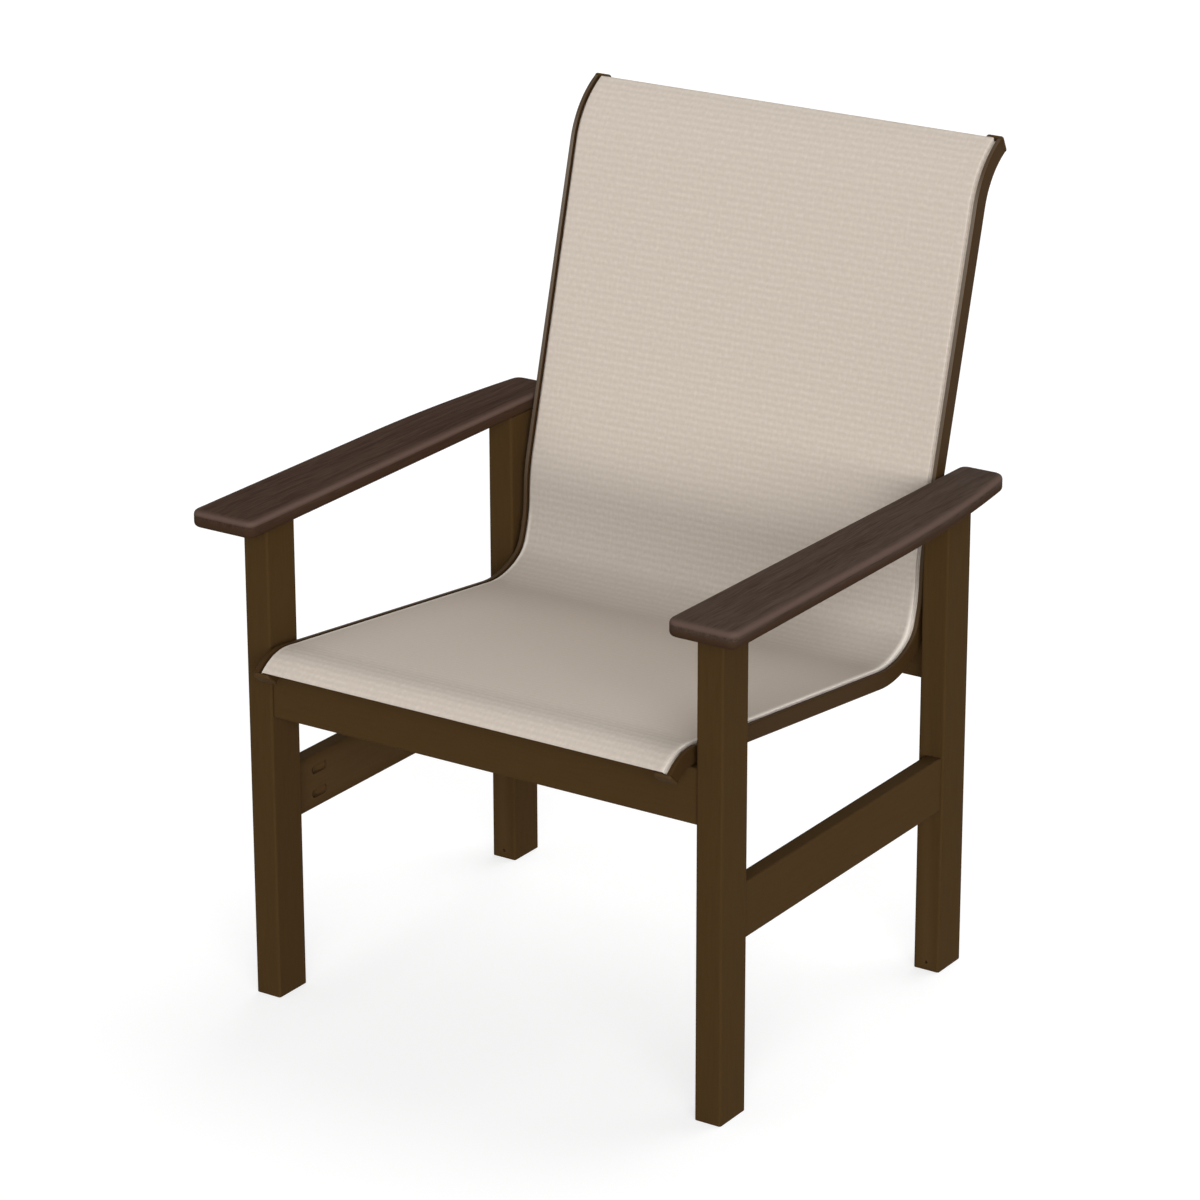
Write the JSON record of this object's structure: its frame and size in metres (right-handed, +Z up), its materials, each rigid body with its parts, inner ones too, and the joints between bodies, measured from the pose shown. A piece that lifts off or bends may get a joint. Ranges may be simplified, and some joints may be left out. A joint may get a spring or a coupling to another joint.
{
  "type": "sling patio chair",
  "caption": "Outdoor dining armchair: straight legs, boards and wide flat arms in dark plastic lumber, with a stretched mesh sling for seat and back between bent rails.",
  "frame": {"origin": "on the floor, under the middle of the chair's overall box", "axes": "+X to the right of someone who faces the chair, +Y towards its back, +Z up"},
  "size_m": [0.715, 0.702, 0.9601],
  "materials": {
    "frame_lumber": "dark brown solid recycled plastic lumber, satin with a faint extrusion grain",
    "arm_lumber": "dark grey-brown solid plastic lumber with an embossed wood grain",
    "rail_finish": "bronze-brown powder coat on extruded aluminium, satin",
    "sling_mesh": "beige coated polyester mesh with fine ribs across the chair",
    "plastic_fittings": "dark brown moulded nylon",
    "stainless_fasteners": "plain stainless steel"
  },
  "bodies": {
    "root": {"leg_front_left": "frame_lumber", "leg_front_right": "frame_lumber", "leg_rear_left": "frame_lumber", "leg_rear_right": "frame_lumber", "side_stretcher_left": "frame_lumber", "side_stretcher_right": "frame_lumber", "front_apron": "frame_lumber", "rear_cross_rail": "frame_lumber", "screw_stretcher_left_front_lower": "stainless_fasteners", "screw_stretcher_left_front_upper": "stainless_fasteners", "screw_stretcher_left_rear_lower": "stainless_fasteners", "screw_stretcher_left_rear_upper": "stainless_fasteners", "screw_stretcher_right_front_lower": "stainless_fasteners", "screw_stretcher_right_front_upper": "stainless_fasteners", "screw_stretcher_right_rear_lower": "stainless_fasteners", "screw_stretcher_right_rear_upper": "stainless_fasteners", "screw_apron_left_lower": "stainless_fasteners", "screw_apron_left_upper": "stainless_fasteners", "screw_apron_right_lower": "stainless_fasteners", "screw_apron_right_upper": "stainless_fasteners", "screw_rear_rail_left_lower": "stainless_fasteners", "screw_rear_rail_left_upper": "stainless_fasteners", "screw_rear_rail_right_lower": "stainless_fasteners", "screw_rear_rail_right_upper": "stainless_fasteners", "arm_left": "arm_lumber", "arm_right": "arm_lumber", "arm_stud_front_left": "stainless_fasteners", "arm_stud_front_right": "stainless_fasteners", "arm_stud_rear_left": "stainless_fasteners", "arm_stud_rear_right": "stainless_fasteners", "sling_rail_left": "rail_finish", "sling_rail_right": "rail_finish", "rail_screw_front_left": "stainless_fasteners", "rail_spacer_front_left": "plastic_fittings", "rail_screw_rear_lower_left": "stainless_fasteners", "rail_spacer_rear_lower_left": "plastic_fittings", "rail_screw_rear_upper_left": "stainless_fasteners", "rail_spacer_rear_upper_left": "plastic_fittings", "rail_screw_front_right": "stainless_fasteners", "rail_spacer_front_right": "plastic_fittings", "rail_screw_rear_lower_right": "stainless_fasteners", "rail_spacer_rear_lower_right": "plastic_fittings", "rail_screw_rear_upper_right": "stainless_fasteners", "rail_spacer_rear_upper_right": "plastic_fittings", "sling": "sling_mesh", "sling_spline_left": "plastic_fittings", "sling_spline_right": "plastic_fittings", "rail_cap_front_left": "plastic_fittings", "rail_cap_top_left": "plastic_fittings", "rail_cap_front_right": "plastic_fittings", "rail_cap_top_right": "plastic_fittings", "seat_spreader_bar": "rail_finish", "spreader_plug_seat_left": "plastic_fittings", "spreader_plug_seat_right": "plastic_fittings", "back_spreader_bar": "rail_finish", "spreader_plug_back_left": "plastic_fittings", "spreader_plug_back_right": "plastic_fittings"}
  },
  "joints": []
}
